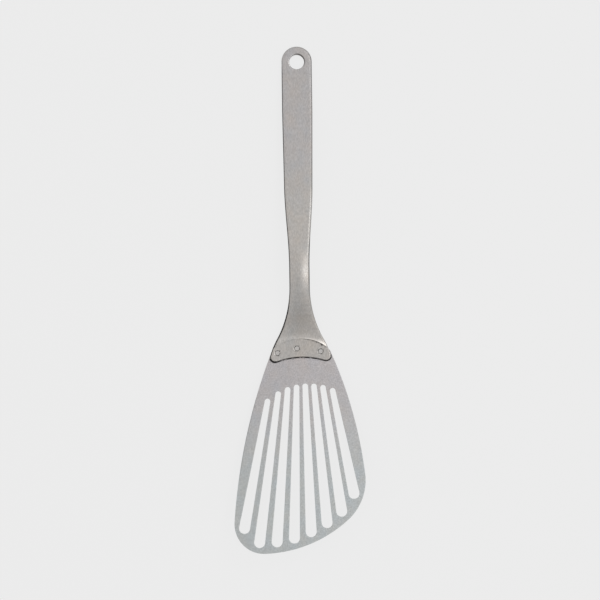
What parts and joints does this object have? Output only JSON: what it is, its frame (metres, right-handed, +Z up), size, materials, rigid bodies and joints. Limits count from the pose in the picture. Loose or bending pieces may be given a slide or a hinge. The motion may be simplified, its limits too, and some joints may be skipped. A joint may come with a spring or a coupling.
{
  "type": "slotted turner",
  "caption": "Long stainless steel turner with a thin slanted blade pierced by drain slots, a bent neck and a flat handle with a hanging hole.",
  "frame": {"origin": "middle of the bounding box, on the surface that the tool lies on", "axes": "+Y along the tool from the blade towards the hanging end, +Z up from the surface, +X to the right when the blade's top face is seen with the handle pointing away"},
  "size_m": [0.0818, 0.3153, 0.016],
  "materials": {
    "handle_steel": "satin stainless steel, brushed along the handle",
    "blade_steel": "fine matt stainless steel sheet",
    "rivet_steel": "stainless steel rivet, polished by use"
  },
  "bodies": {
    "root": {"handle": "handle_steel", "blade": "blade_steel", "rivet_left": "rivet_steel", "rivet_centre": "rivet_steel", "rivet_right": "rivet_steel"}
  },
  "joints": []
}
